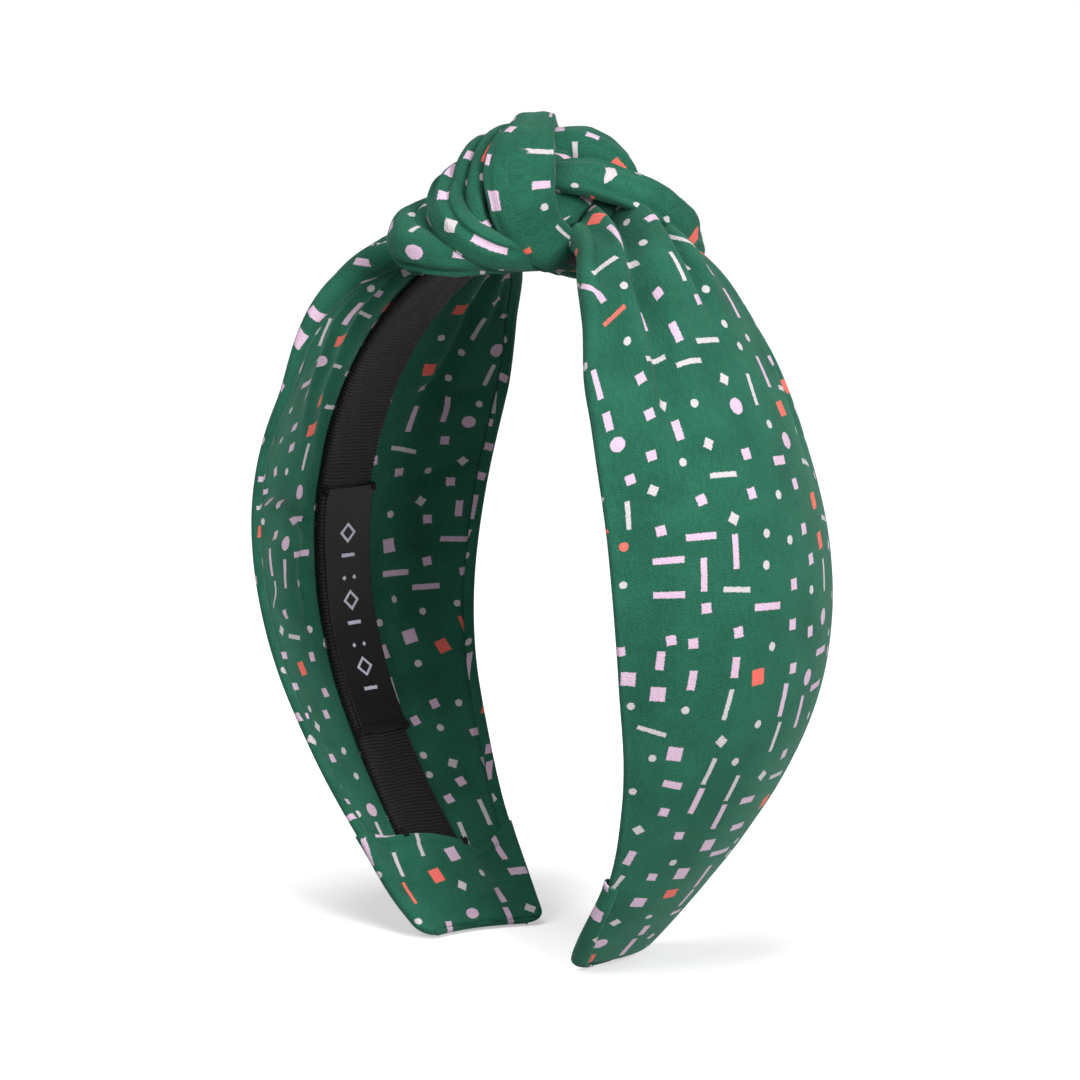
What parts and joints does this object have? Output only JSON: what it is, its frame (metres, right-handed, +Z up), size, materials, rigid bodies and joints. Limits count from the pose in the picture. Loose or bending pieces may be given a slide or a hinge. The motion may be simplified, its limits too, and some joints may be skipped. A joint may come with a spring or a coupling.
{
  "type": "knotted headband",
  "caption": "Springy headband with wide cupped fabric arms, a tied knot at the crown, a ribbon-wrapped core and fabric cuffs on both tips.",
  "frame": {"origin": "middle of the bounding box, on the surface the two tips stand on", "axes": "+Z up from the tips to the knot, +X towards the right arm, +Y towards the rear"},
  "size_m": [0.1344, 0.0674, 0.1745],
  "materials": {
    "core_plastic": "semi-matt moulded",
    "grosgrain": "ribbed ribbon, dull sheen",
    "printed_cotton": "fine twill cotton with a scattered print",
    "interlining": "non-woven, matt",
    "label_satin": "woven satin",
    "thread": "twisted sewing thread"
  },
  "bodies": {
    "crown": {"core_crown": "core_plastic", "ribbon_crown": "grosgrain", "knot_over_strand": "printed_cotton", "knot_under_strand": "printed_cotton", "knot_left_strand": "printed_cotton", "knot_right_strand": "printed_cotton"},
    "left_arm": {"core_left_arm": "core_plastic", "ribbon_left_arm": "grosgrain", "left_outer_panel": "printed_cotton", "left_inner_panel": "printed_cotton", "left_interlining": "interlining", "left_tip_cuff": "printed_cotton", "left_cuff_tack_front": "thread", "left_cuff_tack_rear": "thread", "woven_label": "label_satin", "label_tack_top_front": "thread", "label_tack_top_rear": "thread", "label_tack_bottom_front": "thread", "label_tack_bottom_rear": "thread"},
    "right_arm": {"core_right_arm": "core_plastic", "ribbon_right_arm": "grosgrain", "right_outer_panel": "printed_cotton", "right_inner_panel": "printed_cotton", "right_interlining": "interlining", "right_tip_cuff": "printed_cotton", "right_cuff_tack_front": "thread", "right_cuff_tack_rear": "thread"}
  },
  "joints": [
    {"name": "left_flex", "type": "hinge", "parent": "crown", "child": "left_arm", "pos_m": [-0.0268, 0.0003, 0.1414], "axis": [0, 1, 0], "range_deg": [-3, 18], "stiffness_Nm_per_rad": 1.3},
    {"name": "right_flex", "type": "hinge", "parent": "crown", "child": "right_arm", "pos_m": [0.0268, 0.0003, 0.1414], "axis": [0, -1, 0], "range_deg": [-3, 18], "stiffness_Nm_per_rad": 1.3}
  ]
}
